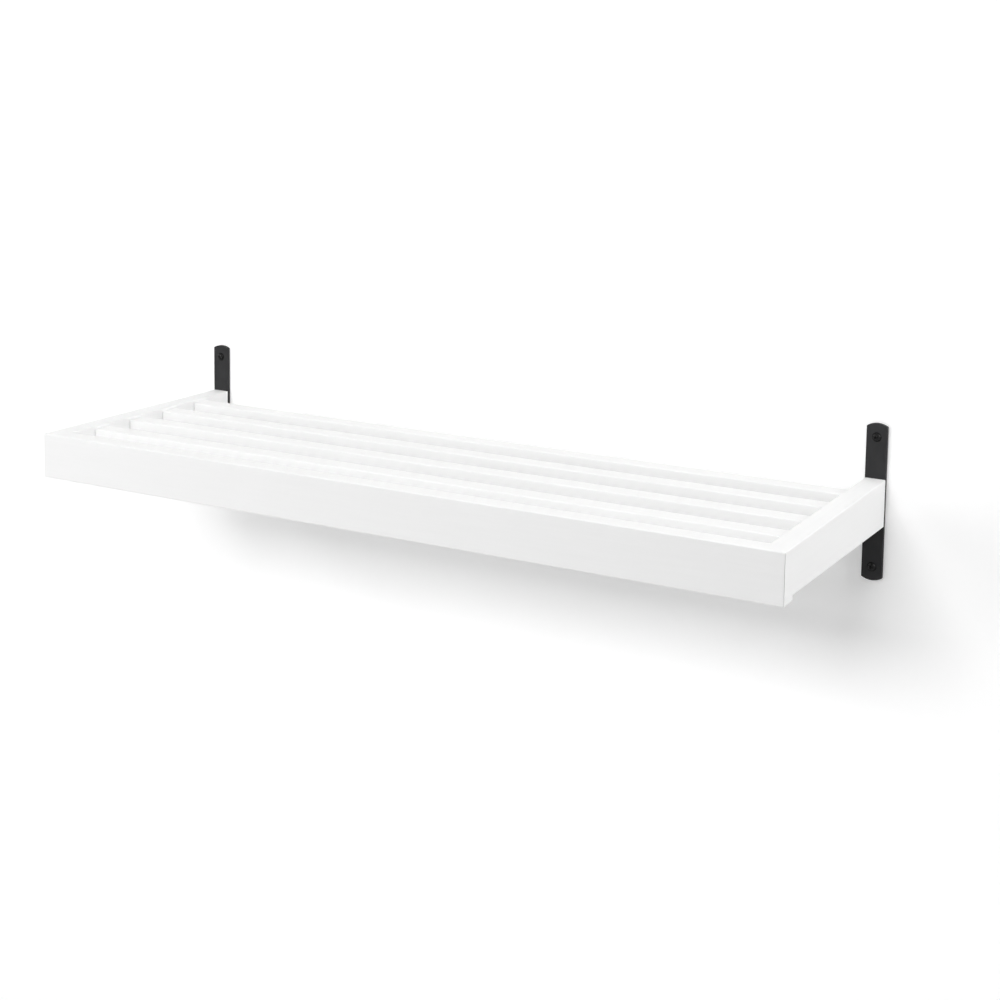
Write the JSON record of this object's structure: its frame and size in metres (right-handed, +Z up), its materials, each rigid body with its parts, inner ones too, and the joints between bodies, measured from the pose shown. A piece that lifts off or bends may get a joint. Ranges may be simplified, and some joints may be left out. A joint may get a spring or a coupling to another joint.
{
  "type": "wall shoe rack",
  "caption": "Slatted wall shelf for shoes: a mitred board frame with parallel slats, held off the wall by flat steel straps with round-head screws above and below each arm.",
  "frame": {"origin": "middle of the rectangle of the wall screws, on the wall plane, which is the plane of the straps' back faces", "axes": "+X along the wall, to the right as seen from the room; +Y into the wall; +Z up"},
  "size_m": [0.79, 0.323, 0.15],
  "materials": {
    "lacquered_wood": "white satin lacquer on planed wood, with a faint grain and eased edges",
    "black_steel": "black powder coat, fine texture, semi-matt",
    "black_screw": "black-oxide steel, semi-gloss",
    "zinc_steel": "bright zinc plate",
    "brass": "turned brass",
    "beech": "bare beech"
  },
  "bodies": {
    "root": {"front_board": "lacquered_wood", "left_arm": "lacquered_wood", "right_arm": "lacquered_wood", "slat_1": "lacquered_wood", "slat_2": "lacquered_wood", "slat_3": "lacquered_wood", "slat_4": "lacquered_wood", "left_strap": "black_steel", "right_strap": "black_steel", "left_wall_screws": "black_screw", "right_wall_screws": "black_screw", "left_strap_screws": "zinc_steel", "right_strap_screws": "zinc_steel", "left_inserts": "brass", "right_inserts": "brass", "left_slat_dowels": "beech", "right_slat_dowels": "beech", "left_corner_spline": "beech", "right_corner_spline": "beech"}
  },
  "joints": []
}
